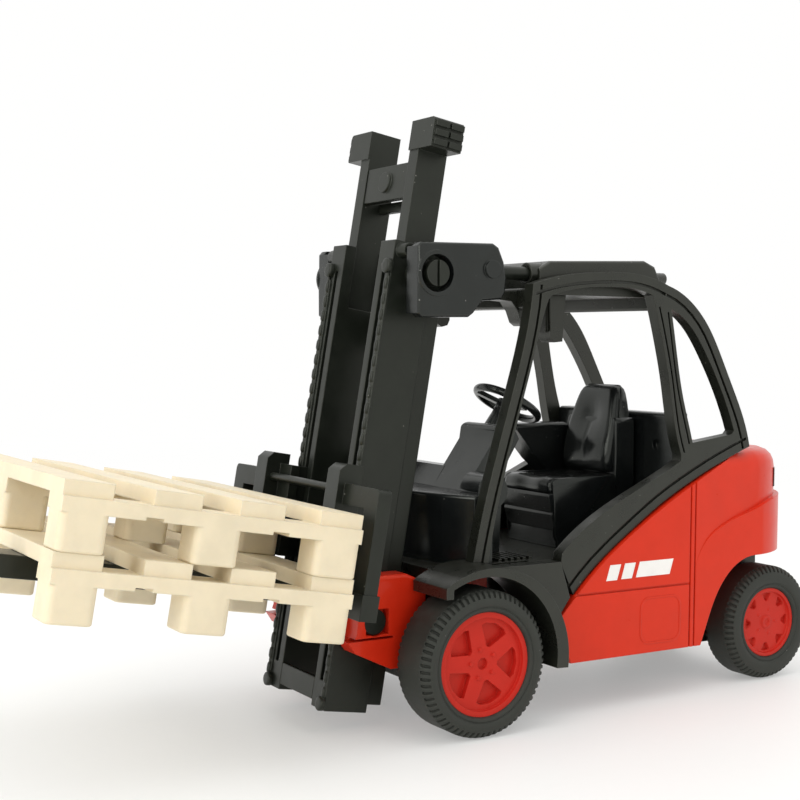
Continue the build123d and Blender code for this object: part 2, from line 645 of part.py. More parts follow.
def mast_tie(u, v):
    """A plate across the mast between the outer rails."""
    return on_mast(block(u, (-RAIL_Y[0], RAIL_Y[0]), v))


def inner_rail():
    """Left inner rail with its overhanging, ribbed head."""
    rail = block(INNER_U, INNER_Y, INNER_V)
    head_u = (INNER_U[0] + 0.05, INNER_U[1] + 0.2)
    head = block(head_u, (INNER_Y[0], 8.6), (INNER_V[1] - 3.1, INNER_V[1]))
    head = rounded(head, lambda c: c.Y > 8.5 and c.Z > INNER_V[1] - 0.01, 0.4)
    middle = sum(head_u) / 2
    for n in range(3):
        v = INNER_V[1] - 2.9 + 0.98 * n
        for u in ((head_u[0] + 0.15, middle - 0.15), (middle + 0.15, head_u[1] - 0.15)):
            head += block(u, (8.5, 8.95), (v, v + 0.62))
    return on_mast(rail + head)


def inner_crossbar():
    """Flat cross piece between the inner rails with a raised disc."""
    bar = block((-2.5, -1.6), (-INNER_Y[0], INNER_Y[0]), (53.8, 57.6))
    return on_mast(bar + Pos(-1.6, 0, 55.8) * Rot(0, 90, 0) * Cylinder(1.15, 0.6))


# ---------------------------------------------------------------- carriage and forks
def carriage_frame():
    """Posts, cross bars, outer brackets and the guide fins that run in the rails' slots."""
    post = side_plate([(1.2, POST_V[0]), (3.9, POST_V[0]), (3.9, POST_V[1] - 0.7), (3.2, POST_V[1]),
                       (1.2, POST_V[1])], *POST_Y)
    arm = block((1.6, 3.1), (POST_Y[1] - 0.2, CARRIAGE_Y), (21.4, 23.5))
    arm = rounded(arm, lambda c: c.Y > CARRIAGE_Y - 0.1 and c.Z > 23.4, 0.6)
    leg = block((1.6, 3.1), (13.6, CARRIAGE_Y), (13.0, 22.0))
    foot = block((1.4, 3.3), (13.3, CARRIAGE_Y + 0.2), (10.9, 13.4))
    guide = block((1.2, 2.2), (4.3, POST_Y[0] + 0.2), (14.5, 24.3))
    fin = block((-1.15, 1.4), (SLOT_Y[0] + 0.06, SLOT_Y[1] - 0.06), (14.5, 24.3))
    half = post + arm + leg + foot + guide + fin
    low_bar = block((1.3, 3.0), (-13.5, 13.5), (11.1, 13.2))
    mid_bar = block((1.3, 2.6), (-7.0, 7.0), (17.6, 19.6))
    return on_mast(half + mirrored(half) + low_bar + mid_bar)


def fork():
    """Left fork: upright shank, flat blade and a tapered tip."""
    y0, y1 = FORK_Y
    v0, v1 = FORK_V
    blade = side_plate([(3.9, v0), (36.0, v0), (FORK_TIP, v1 - 0.75), (FORK_TIP, v1), (3.9, v1)], y0, y1)
    middle = (y0 + y1) / 2
    plan = make_face(Polyline((0, y0 - 1, 0), (0, y1 + 1, 0), (36.5, y1 + 1, 0), (36.5, y1, 0),
                              (FORK_TIP - 0.8, middle + 1.5, 0), (FORK_TIP, middle + 0.8, 0),
                              (FORK_TIP, middle - 0.8, 0), (FORK_TIP - 0.8, middle - 1.5, 0),
                              (36.5, y0, 0), (36.5, y0 - 1, 0), close=True))
    blade &= extrude(plan, 40)
    shank = block((3.9, 5.4), (y0, y1), (v0, 19.2))
    return on_mast(shank + blade)


# ---------------------------------------------------------------- tilt link
def tilt_plate():
    """Left plate with a clearance hole for the mast's top pin, a boss, and the rod on its back."""
    y0, y1 = 9.35, 10.75
    front = 5.25
    outline = [(front, 42.7), (4.8, 42.3), (-0.9, 42.4), (-1.5, 42.8), (-2.6, 44.1), (-5.0, 44.3), (-5.5, 45.0),
               (-5.6, 46.5), (-5.3, 48.2), (-4.6, 49.7), (-3.9, 50.1), (4.9, 49.9), (front, 49.5)]
    plate = side_plate(outline, y0, y1)
    plate = rounded(plate, lambda c: c.Y > y1 - 0.01, 0.35)
    pin = on_rail(*TOP_PIN_UV)
    plate += across(pin.X, pin.Z, 2.35, y1 - 0.2, y1 + 0.15)
    plate += across(-3.7, 47.4, 0.95, y1 - 0.2, y1 + 0.35)
    plate += block((front - 0.8, front), (8.35, y0 + 0.2), (42.7, 49.5))
    plate -= across(pin.X, pin.Z, 1.92, 5, 15)
    return plate


def tilt_rods():
    """Rods that slide in the barrels, each with an eye block fixed to its plate."""
    y, z = CYL_YZ
    rod = along(-17.5, -5.7, y, z, ROD_R)
    eye = block((-6.0, -2.6), (7.9, 9.35), (z - 1.1, z + 1.1))
    return both(rod + eye)


# ---------------------------------------------------------------- pallets
def pallet(level):
    """A toy pallet: four deck boards on three stringers, each stringer on three blocks."""
    u0, u1 = PALLET_U0, PALLET_U0 + PALLET_L
    v0 = PALLET_V0 + level * (PALLET_H + 0.01)
    rim = PALLET_W / 2
    deep = 3.8
    rows = ((rim - deep, rim), (-deep / 2, deep / 2), (-rim, -rim + deep))
    block_top, string_top = v0 + 3.3, v0 + 4.65
    middle = (u0 + u1) / 2
    feet = ((u0, u0 + 4.6), (middle - 2.2, middle + 2.2), (u1 - 4.3, u1))
    body = None
    for row in rows:
        stringer = block((u0, u1), row, (block_top, string_top))
        for a, b in zip(feet, feet[1:]):
            notch = (a[1] + b[0]) / 2
            stringer -= block((notch - 0.8, notch + 0.8), (row[0] - 1, row[1] + 1), (block_top - 1, block_top + 0.3))
        body = stringer if body is None else body + stringer
        for foot in feet:
            leg = rounded(block(foot, row, (v0, block_top)), lambda c: block_top - 0.1 > c.Z > v0 + 0.1, 0.7)
            body += rounded(leg, lambda c: c.Z < v0 + 0.01, 0.25)
    board = 4.4
    gap = (PALLET_L - 4 * board) / 3
    for n in range(4):
        u = u0 + n * (board + gap)
        body += block((u, u + board), (-rim + 0.35, rim - 0.35), (string_top, v0 + PALLET_H))
    return on_mast(body)


# ---------------------------------------------------------------- assembly
def build():
    """Make every node, in the truck's own frame."""
    add("base_plate", base_plate())
    add("base_screws", [base_screw(x) for x in SCREWS_X])
    add("body_shell", body_shell())
    add("rear_lamps", rear_lamps())
    add("mast_bracket", mast_bracket())
    add("cab_floor", cab_floor())
    add("dashboard", dashboard())
    add("steering_column", steering_column())
    add("steering_wheel", steering_wheel())
    add("seat_pedestal", seat_pedestal())
    add("seat_cushion", seat_cushion())
    add("seat_back", seat_back())
    add("armrest_console", armrest_console())
    add("rear_bulkhead", rear_bulkhead())
    side = guard_side()
    add("guard_side_left", side)
    add("guard_side_right", mirrored(side))
    add("guard_front_bar", guard_cross_bar((-10.2, -8.0), (43.4, 45.6)))
    add("guard_rear_bar", guard_cross_bar((-28.0, -27.0), (43.6, 45.6)))
    add("roof_panel", roof_panel())
    add("tilt_barrels", tilt_barrels())
    add("work_lamps", work_lamps())
    add("cab_mirror", cab_mirror())
    wheel_set("front", 0, FRONT_R, FRONT_HUB_R, FRONT_TYRE_Y, front_hub, 0.5)
    wheel_set("rear", -WHEELBASE, REAR_R, REAR_HUB_R, REAR_TYRE_Y, rear_hub, 0.45)
    rail = mast_rail()
    add("mast_rail_left", rail)
    add("mast_rail_right", mirrored(rail))
    add("mast_foot_plate", mast_tie((-0.6, 0), (0.9, 3.2)))
    add("mast_upper_tie", mast_tie((-6.8, -5.7), (38.5, 42.0)))
    add("mast_lower_tie", mast_tie((-6.8, -5.7), (24.0, 27.0)))
    chain = chain_strip()
    add("chain_strip_left", chain)
    add("chain_strip_right", mirrored(chain))
    add("pivot_pins", pivot_pins())
    add("top_pins", top_pins())
    stage = inner_rail()
    add("inner_rail_left", stage)
    add("inner_rail_right", mirrored(stage))
    add("inner_crossbar", inner_crossbar())
    add("inner_tie", on_mast(block((-4.4, -3.6), (-INNER_Y[0], INNER_Y[0]), (53.1, 54.2))))
    add("carriage_frame", carriage_frame())
    add("carriage_rod", on_mast(across(3.0, 22.8, 0.42, -POST_Y[0], POST_Y[0])))
    left_fork = fork()
    add("fork_left", left_fork)
    add("fork_right", mirrored(left_fork))
    plate = tilt_plate()
    add("tilt_plate_left", plate)
    add("tilt_plate_right", mirrored(plate))
    add("tilt_rods", tilt_rods())
    add("pallet_lower", pallet(0))
    add("pallet_upper", pallet(1))


def origin_shift():
    """Offset that puts the origin at the bottom centre of the whole toy."""
    boxes = [solid.bounding_box() for shapes in NODES.values() for solid in shapes]
    low = [min(getattr(b.min, axis) for b in boxes) for axis in "XYZ"]
    high = [max(getattr(b.max, axis) for b in boxes) for axis in "XYZ"]
    return Vector(-(low[0] + high[0]) / 2, -(low[1] + high[1]) / 2, -low[2])


def main():
    build()
    shift = origin_shift()
    print("origin shift", tuple(round(c, 4) for c in shift))
    os.makedirs("parts", exist_ok=True)
    for name, shapes in NODES.items():
        solids = [s for shape in shapes for s in shape.solids()]
        moved = [Pos(shift.X, shift.Y, shift.Z) * s for s in solids]
        export_step(moved[0] if len(moved) == 1 else Compound(children=moved), f"parts/{name}.step")


main()
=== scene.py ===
"""Looks for the toy forklift: materials, moulded detail, floor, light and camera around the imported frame."""
import json
import math

import bmesh
import bpy
from mathutils import Matrix, Vector


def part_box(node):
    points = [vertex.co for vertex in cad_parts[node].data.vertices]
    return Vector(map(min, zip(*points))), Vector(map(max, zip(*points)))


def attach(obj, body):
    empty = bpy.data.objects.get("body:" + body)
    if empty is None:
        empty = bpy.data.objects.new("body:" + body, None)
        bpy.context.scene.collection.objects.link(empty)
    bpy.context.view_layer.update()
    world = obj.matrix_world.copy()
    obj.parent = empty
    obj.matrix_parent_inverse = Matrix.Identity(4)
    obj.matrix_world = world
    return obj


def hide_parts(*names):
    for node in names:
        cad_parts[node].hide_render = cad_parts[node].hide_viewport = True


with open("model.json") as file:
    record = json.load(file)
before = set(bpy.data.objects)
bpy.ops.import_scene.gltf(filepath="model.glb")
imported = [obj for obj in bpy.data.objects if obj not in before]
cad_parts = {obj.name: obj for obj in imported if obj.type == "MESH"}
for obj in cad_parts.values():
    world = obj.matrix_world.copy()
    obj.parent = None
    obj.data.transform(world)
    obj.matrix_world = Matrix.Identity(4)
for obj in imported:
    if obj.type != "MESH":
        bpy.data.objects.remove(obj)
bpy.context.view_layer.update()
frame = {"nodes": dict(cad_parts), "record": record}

NODES = frame["nodes"]
MM = 0.001
AXLE_X = sum(c.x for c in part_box("front_axle")) / 2    # the front axle is x = 0 in the truck's millimetres
MAST_FOOT = (13.5, 0, 2.1)                             # foot of the rails' front face
TILT = math.radians(9.4)                               # backward lean of the mast at rest
SIDE_NAME = {1: "left", -1: "right"}                   # by the sign of y
SHARP_OVER = math.radians(50)                          # edges with a larger angle stay sharp


def truck(x, y, z):
    """A point given in the truck's millimetres, in the row frame."""
    return Vector((x * MM + AXLE_X, y * MM, z * MM))


MAST = Matrix.Translation(truck(*MAST_FOOT)) @ Matrix.Rotation(-TILT, 4, "Y") @ Matrix.Scale(MM, 4)


# ---------------------------------------------------------------- materials
class Graph:
    """Short-hand for building a node tree."""

    def __init__(self, material):
        self.tree = material.node_tree
        self.tree.nodes.clear()

    def node(self, kind, settings=None, **inputs):
        made = self.tree.nodes.new(kind)
        for key, value in (settings or {}).items():
            setattr(made, key, value)
        for key, value in inputs.items():
            socket = made.inputs[int(key[1:])] if key[0] == "i" and key[1:].isdigit() else made.inputs[key]
            self.feed(socket, value)
        return made

    def feed(self, socket, value):
        if isinstance(value, bpy.types.NodeSocket):
            self.tree.links.new(value, socket)
        else:
            socket.default_value = value

    def math(self, operation, a, b):
        return self.node("ShaderNodeMath", {"operation": operation}, i0=a, i1=b).outputs[0]

    def noise(self, place, scale, detail=2.0, rough=0.5):
        made = self.node("ShaderNodeTexNoise", Vector=place, Scale=scale, Detail=detail, Roughness=rough)
        return made.outputs["Fac"]

    def millimetres(self, coords):
        scale = 1 / MM
        made = self.node("ShaderNodeVectorMath", {"operation": "SCALE"}, Vector=coords, Scale=scale)
        return made.outputs[0]

    def remap(self, value, low, high, to_low=0.0, to_high=1.0):
        made = self.node("ShaderNodeMapRange", {"interpolation_type": "SMOOTHSTEP"}, i0=value, i1=low,
                         i2=high, i3=to_low, i4=to_high)
        return made.outputs[0]

    def mix(self, share, a, b):
        made = self.node("ShaderNodeMix", {"data_type": "RGBA"}, i0=share)
        self.feed(made.inputs[6], a)
        self.feed(made.inputs[7], b)
        return made.outputs[2]


def rgba(color, factor=1.0):
    return tuple(min(1.0, c * factor) for c in color) + (1.0,)


def surface(name, color, rough, mottle=0.12, mottle_scale=0.35, grain=0.25, grain_scale=5.0, ripple=0.0,
            edge=None, edge_share=0.5, edge_radius=0.12, dust=0.0, specks=0.0, coat=0.0, coat_rough=0.08,
            specular=0.5, metallic=0.0, scatter=0.0, tint=(1.0, 1.0, 1.0)):
    """A moulded or painted finish: cloudy colour, fine grain, soft ripple, recoloured edges (a painted
    highlight on the black finishes, wear on the others), dust and specks.
    """
    material = bpy.data.materials.new(name)
    material.use_nodes = True
    g = Graph(material)
    place = g.millimetres(g.node("ShaderNodeTexCoord").outputs["Object"])
    cloud = g.noise(place, mottle_scale, 4.0, 0.6)
    fine = g.noise(place, grain_scale, 3.0, 0.6)
    base = g.mix(g.remap(cloud, 0.3, 0.7), rgba(color, 1 - mottle), rgba(color, 1 + mottle))
    shine = g.math("ADD", rough, g.math("MULTIPLY", g.math("SUBTRACT", cloud, 0.5), 0.22))
    shine = g.math("ADD", shine, g.math("MULTIPLY", g.math("SUBTRACT", fine, 0.5), 0.12))
    geometry = g.node("ShaderNodeNewGeometry")
    bevel = g.node("ShaderNodeBevel", {"samples": 4}, Radius=edge_radius * MM).outputs[0]
    # Edges take the edge colour in patches: on the black mouldings and tyres the lighter olive edge colour is
    # a painted highlight, on the other finishes it stands for wear.
    if edge is not None:
        same = g.node("ShaderNodeVectorMath", {"operation": "DOT_PRODUCT"}, i0=bevel,
                      i1=geometry.outputs["Normal"])
        sharp = g.remap(same.outputs["Value"], 0.985, 0.86)
        patchy = g.remap(g.noise(place, 1.1, 4.0, 0.65), 0.38, 0.62, 0.25, 1.0)
        edge_highlight_and_wear = g.math("MULTIPLY", g.math("MULTIPLY", sharp, patchy), edge_share)
        base = g.mix(edge_highlight_and_wear, base, rgba(edge))
    if dust > 0:
        up = g.node("ShaderNodeSeparateXYZ", Vector=geometry.outputs["Normal"]).outputs["Z"]
        lying = g.math("MULTIPLY", g.remap(up, 0.35, 1.0), g.remap(g.noise(place, 0.9, 5.0, 0.7), 0.35, 0.75))
        lying = g.math("MULTIPLY", lying, dust)
        base = g.mix(lying, base, (0.42, 0.40, 0.36, 1.0))
        shine = g.math("ADD", shine, g.math("MULTIPLY", lying, 0.5))
    if specks > 0:
        dots = g.node("ShaderNodeTexVoronoi", {"feature": "F1"}, Vector=place, Scale=1.15)
        size = g.remap(g.noise(place, 0.7, 1.0), 0.5, 0.75, 0.0, 0.09)
        near = g.math("LESS_THAN", dots.outputs["Distance"], size)
        base = g.mix(g.math("MULTIPLY", near, specks), base, (0.55, 0.53, 0.48, 1.0))
    grainy = g.node("ShaderNodeBump", Strength=grain, Distance=0.02 * MM, Height=fine,
                    Normal=bevel).outputs[0]
    if ripple > 0:
        wave = g.noise(place, 0.45, 1.0, 0.4)
        grainy = g.node("ShaderNodeBump", Strength=ripple, Distance=0.25 * MM, Height=wave,
                        Normal=grainy).outputs[0]
    shader = g.node("ShaderNodeBsdfPrincipled", Roughness=g.math("MAXIMUM", shine, 0.05),
                    Metallic=metallic, Normal=grainy)
    g.feed(shader.inputs["Base Color"], base)
    g.feed(shader.inputs["Specular IOR Level"], specular)
    g.feed(shader.inputs["Specular Tint"], tint + (1.0,))
    g.feed(shader.inputs["Coat Weight"], coat)
    g.feed(shader.inputs["Coat Roughness"], coat_rough)
    if scatter > 0:
        g.feed(shader.inputs["Subsurface Weight"], scatter)
        g.feed(shader.inputs["Subsurface Radius"], (1.0, 0.7, 0.4))
        g.feed(shader.inputs["Subsurface Scale"], 0.6 * MM)
    output = g.node("ShaderNodeOutputMaterial")
    g.feed(output.inputs["Surface"], shader.outputs[0])
    return material


OLIVE_SHEEN = (0.99, 1.0, 0.90)        # tint of the light that the black mouldings mirror
# On the black mouldings and the tyres the light olive edge colour is a painted highlight along their edges.
FINISH = {
    "red_paint": surface(
        "red_enamel", (0.62, 0.022, 0.006), 0.34, mottle=0.03, grain=0.05, ripple=0.14,
        edge=(0.42, 0.014, 0.005), edge_share=0.3, coat=0.16, coat_rough=0.08, specular=0.4,
        tint=(1.0, 0.45, 0.25)),
    "red_plastic": surface(
        "red_moulding", (0.50, 0.017, 0.011), 0.40, mottle=0.05, grain=0.22, grain_scale=7.0,
        edge=(0.75, 0.12, 0.08), edge_share=0.35, edge_radius=0.08, specular=0.4, tint=(1.0, 0.5, 0.35)),
    "tyre_rubber": surface(
        "tyre_rubber", (0.017, 0.019, 0.016), 0.62, mottle=0.16, mottle_scale=0.5, grain=0.5,
        grain_scale=9.0, edge=(0.09, 0.095, 0.085), edge_share=0.45, dust=0.05, specks=0.25,
        specular=0.5, tint=OLIVE_SHEEN),
    "mast_plastic": surface(
        "mast_black", (0.009, 0.011, 0.008), 0.36, mottle=0.16, grain=0.30, grain_scale=7.0,
        ripple=0.10, edge=(0.085, 0.09, 0.078), edge_share=0.35, dust=0.05, specks=0.4,
        specular=0.36, tint=OLIVE_SHEEN),
    "guard_plastic": surface(
        "guard_black", (0.010, 0.011, 0.008), 0.30, mottle=0.16, grain=0.26, grain_scale=7.0,
        ripple=0.10, edge=(0.085, 0.088, 0.076), edge_share=0.35, dust=0.05, specks=0.3,
        specular=0.5, tint=OLIVE_SHEEN),
    "cab_plastic": surface(
        "cab_black", (0.006, 0.007, 0.007), 0.22, mottle=0.18, grain=0.12, ripple=0.12,
        edge=(0.06, 0.066, 0.060), edge_share=0.3, dust=0.05, specks=0.3, specular=0.45,
        tint=(0.96, 1.0, 0.92)),
    "pallet_plastic": surface(
        "pallet_ivory", (0.76, 0.66, 0.47), 0.52, mottle=0.05, mottle_scale=0.25, grain=0.30,
        grain_scale=4.0, ripple=0.08, edge=(0.86, 0.79, 0.63), edge_share=0.5, edge_radius=0.2,
        scatter=0.15),
    "steel": surface(
        "axle_steel", (0.55, 0.55, 0.54), 0.32, mottle=0.08, grain=0.3, grain_scale=12.0,
        edge=(0.7, 0.7, 0.7), edge_share=0.3, metallic=1.0),
    "lamp_red": surface(
        "lamp_lens", (0.08, 0.005, 0.004), 0.12, mottle=0.1, grain=0.05, coat=0.5,
        edge=(0.2, 0.03, 0.02), edge_share=0.3),
}
MARK_WHITE = surface(
    "mark_white", (0.86, 0.84, 0.80), 0.42, mottle=0.04, grain=0.15, edge=(0.75, 0.55, 0.5),
    edge_share=0.3, edge_radius=0.05)


# ---------------------------------------------------------------- finishing the carried-over CAD nodes
def shading_group():
    """Geometry nodes that shade faces smooth and keep sharp edges sharp."""
    tree = bpy.data.node_groups.new("smooth_below_angle", "GeometryNodeTree")
    tree.interface.new_socket("Geometry", in_out="INPUT", socket_type="NodeSocketGeometry")
    tree.interface.new_socket("Geometry", in_out="OUTPUT", socket_type="NodeSocketGeometry")
    start, end = tree.nodes.new("NodeGroupInput"), tree.nodes.new("NodeGroupOutput")
    angle = tree.nodes.new("GeometryNodeInputMeshEdgeAngle")
    over = tree.nodes.new("FunctionNodeCompare")
    over.data_type, over.operation = "FLOAT", "GREATER_THAN"
    over.inputs[1].default_value = SHARP_OVER
    faces = tree.nodes.new("GeometryNodeSetShadeSmooth")
    edges = tree.nodes.new("GeometryNodeSetShadeSmooth")
    faces.domain, edges.domain = "FACE", "EDGE"
    faces.inputs["Shade Smooth"].default_value = True
    edges.inputs["Shade Smooth"].default_value = False
    link = tree.links.new
    link(angle.outputs["Unsigned Angle"], over.inputs[0])
    link(start.outputs[0], faces.inputs["Geometry"])
    link(faces.outputs[0], edges.inputs["Geometry"])
    link(over.outputs[0], edges.inputs["Selection"])
    link(edges.outputs[0], end.inputs[0])
    return tree


SHADING = shading_group()
USUAL_BEVEL_MM = 0.12
BEVEL_MM = {
    "body_shell": 0.28, "mast_bracket": 0.16, "pallet_lower": 0.17, "pallet_upper": 0.17,
    "tilt_plate_left": 0.16, "tilt_plate_right": 0.16, "mast_rail_left": 0.10, "mast_rail_right": 0.10,
    "seat_pedestal": 0.22, "dashboard": 0.20, "armrest_console": 0.2, "steering_wheel": 0.08,
    "front_hub_left": 0.07, "front_hub_right": 0.07,
}
# nodes whose flat faces have holes, so their triangles are left as they are
UNMERGED = (
    "cab_floor", "cab_mirror", "carriage_frame", "guard_side_left", "guard_side_right",
    "inner_rail_left", "inner_rail_right", "rear_hub_left", "rear_hub_right", "roof_panel", "work_lamps",
)


def soften(obj, width, merge):
    """Join split corners, then merge flat triangles and round the hard edges if the faces allow it."""
    weld = obj.modifiers.new("weld", "WELD")
    weld.merge_threshold = 0.0005 * MM
    if merge:
        flat = obj.modifiers.new("merge_flats", "DECIMATE")
        flat.decimate_type = "DISSOLVE"
        flat.angle_limit = math.radians(0.6)
        bevel = obj.modifiers.new("round_edges", "BEVEL")
        bevel.width = width * MM
        bevel.segments = 2
        bevel.limit_method = "ANGLE"
        bevel.angle_limit = math.radians(36)
        bevel.miter_outer = "MITER_ARC"
    shade = obj.modifiers.new("shade", "NODES")
    shade.node_group = SHADING
    if merge:
        weighted = obj.modifiers.new("weighted_normals", "WEIGHTED_NORMAL")
        weighted.keep_sharp = True


SLOT_OF = {row["node"]: row["material_slot"] for row in frame["record"]["subparts"]}
for node_name, node in NODES.items():
    for material_slot in node.material_slots:
        material_slot.material = FINISH[SLOT_OF[node_name]]
    soften(node, BEVEL_MM.get(node_name, USUAL_BEVEL_MM), node_name not in UNMERGED)


# ---------------------------------------------------------------- making pieces
def piece(name, mesh, material, body, stands_for=(), smooth=True):
    """Put a finished bmesh into the scene as a piece that rides on a body."""
    data = bpy.data.meshes.new(name)
    bmesh.ops.recalc_face_normals(mesh, faces=mesh.faces)
    mesh.to_mesh(data)
    mesh.free()
    data.materials.append(material)
    obj = bpy.data.objects.new(name, data)
    bpy.context.scene.collection.objects.link(obj)
    if smooth:
        shade = obj.modifiers.new("shade", "NODES")
        shade.node_group = SHADING
    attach(obj, body)
    if stands_for:
        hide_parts(*stands_for)
    return obj


def skin_rings(mesh, rings, loop=False):
    """Join rings of points into a closed skin, either capped at both ends or looped back to the first."""
    rows = [[mesh.verts.new(p) for p in ring] for ring in rings]
    following = rows[1:] + rows[:1] if loop else rows[1:]
    for a, b in zip(rows, following):
        count = len(a)
        for n in range(count):
            m = (n + 1) % count
            mesh.faces.new((a[n], a[m], b[m], b[n]))
    if not loop:
        mesh.faces.new(rows[0][::-1])
        mesh.faces.new(rows[-1])


BORE_SHARE = {"front": 5.3 / 7.5, "rear": 4.1 / 6.75}      # hub radius as a share of the tyre's
# half sections of a tyre in millimetres: (in from the edge, down from the side face[, notch share])
TYRE_RIM = [(0, 0.50), (0.12, 0.24), (0.30, 0.10), (0.42, 0.12), (0.52, 0.22), (0.62, 0.12), (0.8, 0.01),
            (1.1, 0)]
TYRE_SHOULDER = [(0.95, 0.03, 0), (0.72, 0.09, 0), (0.66, 0.12, 0.9), (0.46, 0.23, 1), (0.24, 0.42, 1),
                 (0.10, 0.62, 1), (0.03, 0.84, 0.9), (0.01, 0.92, 0.1), (0, 1.05, 0)]
LUG_WAVE = (0, 0, 0, 0.1, 0.9, 1.0, 0.9, 0.1)              # notch depth round one lug
LUG_LEAN = 0.22                                            # turn of the notches per section point


def make_tyre(end, side, lugs, notch):
    """A tyre turned from its section, with a ring of notches round both shoulders."""
    node = f"{end}_tyre_{side}"
    low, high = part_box(node)
    centre = (low + high) / 2
    radius = (high.z - low.z) / 2
    half = (high.y - low.y) / 2
    bore = radius * BORE_SHARE[end]
    outline = [(bore + r * MM, half - y * MM, 0) for r, y in TYRE_RIM]
    outline += [(radius - r * MM, half - y * MM, w) for r, y, w in TYRE_SHOULDER]
    outline.append((radius, half * 0.25, 0))
    section = [(r, y, w, n) for n, (r, y, w) in enumerate(outline)]
    section += [(r, -y, w, -n) for r, y, w, n in reversed(section)]
    steps = lugs * len(LUG_WAVE)
    rings = []
    for n in range(steps):
        ring = []
        for r, y, w, lean in section:
            angle = 2 * math.pi * (n + LUG_LEAN * lean) / steps
            cut = notch * MM * w * LUG_WAVE[n % len(LUG_WAVE)]
            out = r - cut
            inward = math.copysign(min(cut * 0.9, abs(y)), y)
            place = Vector((out * math.cos(angle), y - inward, out * math.sin(angle)))
            ring.append(centre + place)
        rings.append(ring)
    mesh = bmesh.new()
    skin_rings(mesh, rings, loop=True)
    piece(f"{end}_lugged_tyre_{side}", mesh, FINISH["tyre_rubber"], f"{end}_wheels", (node,))


for side in ("left", "right"):
    make_tyre("front", side, 66, 0.24)
    make_tyre("rear", side, 60, 0.20)


def ramp(value, start, width):
    """0 below start, 1 above start + width, smooth between."""
    t = min(1.0, max(0.0, (value - start) / width))
    return t * t * (3 - 2 * t)


POCKETS = 8
BOLTS = 5
BOLT_CIRCLE = 1.45                     # radius of the ring of bolt heads
HUB_STEPS = 160                        # points round a hub
# radii in millimetres where the face is sampled, closest together across its edges
HUB_RADII = (0.05, 0.3, 0.35, 0.4, 0.45, 0.68, 0.74, 0.8, 0.86, 1.2, 1.28, 1.34, 1.4, 1.46, 1.52, 1.58, 1.66,
             2.0, 2.4, 2.49, 2.53, 2.57, 2.61, 2.7, 2.85, 3.0, 3.15, 3.3, 3.37, 3.41, 3.45, 3.5, 3.57, 3.61,
             3.65, 3.7)


def hub_depth(r, angle):
    """Depth in millimetres below the rim of the rear hub's face at a radius in millimetres."""
    half_pocket = math.pi / POCKETS
    turn = abs((angle + half_pocket) % (2 * half_pocket) - half_pocket)
    wedge = 0.14 + 0.46 * (r - 2.55) / 0.85
    pocket = ramp(wedge + 0.06 - turn * r, 0.0, 0.14) * ramp(r, 2.5, 0.12) * (1 - ramp(r, 3.38, 0.10))
    depth = 0.34 * (1 - ramp(r, 3.58, 0.12)) + 0.42 * pocket
    bolt = angle % (2 * math.pi / BOLTS) - math.pi / BOLTS
    bolt_gap = math.hypot(r - BOLT_CIRCLE, BOLT_CIRCLE * bolt)
    depth -= 0.10 * (1 - ramp(bolt_gap, 0.10, 0.10)) + 0.16 * (1 - ramp(r, 0.72, 0.10))
    return depth + 0.14 * (1 - ramp(r, 0.34, 0.08))


def make_rear_hub(side):
    """Rear wheel hub: rimmed face with eight wedge pockets, five bolt heads and a round centre."""
    low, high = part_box(f"rear_hub_{side}")
    centre = (low + high) / 2
    radius = (high.z - low.z) / 2 / MM
    sign = 1 if side == "left" else -1
    outer = max(abs(low.y), abs(high.y)) / MM
    inner = min(abs(low.y), abs(high.y)) / MM
    profile = [(r, None) for r in (*HUB_RADII, radius - 0.12, radius - 0.03)]
    profile += [(radius, outer - 0.1), (radius, inner)]
    rings = []
    for r, y in profile:
        ring = []
        for n in range(HUB_STEPS):
            angle = 2 * math.pi * n / HUB_STEPS
            out = outer - hub_depth(r, angle) - 0.03 * ramp(r, radius - 0.05, 0.05) if y is None else y
            ring.append(Vector((centre.x + r * MM * math.cos(angle), sign * out * MM,
                                centre.z + r * MM * math.sin(angle))))
        rings.append(ring)
    mesh = bmesh.new()
    skin_rings(mesh, rings)
    piece(f"rear_wheel_face_{side}", mesh, FINISH["red_plastic"], "rear_wheels",
          (f"rear_hub_{side}",))


make_rear_hub("left")
make_rear_hub("right")


PILL_RINGS, PILL_AROUND, DISC_AROUND = 8, 14, 28
DISC_PROFILE = [(1.0, 0.0), (1.0, 0.72), (0.95, 0.9), (0.84, 1.0), (0.4, 1.0)]     # (radius, rise) shares


def pill(mesh, centre, half, power):
    """A rounded block (superellipsoid) with half sizes along the mast's own three directions."""
    def curve(angle):
        c, s = math.cos(angle), math.sin(angle)
        return math.copysign(abs(c) ** (2 / power), c), math.copysign(abs(s) ** (2 / power), s)
    rows = []
    for i in range(1, PILL_RINGS):
        c1, s1 = curve(math.pi * i / PILL_RINGS - math.pi / 2)
        row = []
        for j in range(PILL_AROUND):
            c2, s2 = curve(2 * math.pi * j / PILL_AROUND)
            row.append(MAST @ Vector((centre[0] + half[0] * c1 * c2, centre[1] + half[1] * c1 * s2,
                                      centre[2] + half[2] * s1)))
        rows.append(row)
    skin_rings(mesh, rows)


def disc(mesh, centre, radius, height):
    """A short round boss along the mast's forward direction, with a rounded front edge."""
    rings = []
    for share, rise in DISC_PROFILE:
        ring = []
        for n in range(DISC_AROUND):
            angle = 2 * math.pi * n / DISC_AROUND
            y = centre[1] + radius * share * math.cos(angle)
            v = centre[2] + radius * share * math.sin(angle)
            ring.append(MAST @ Vector((centre[0] + height * rise, y, v)))
        rings.append(ring)
    skin_rings(mesh, rings)


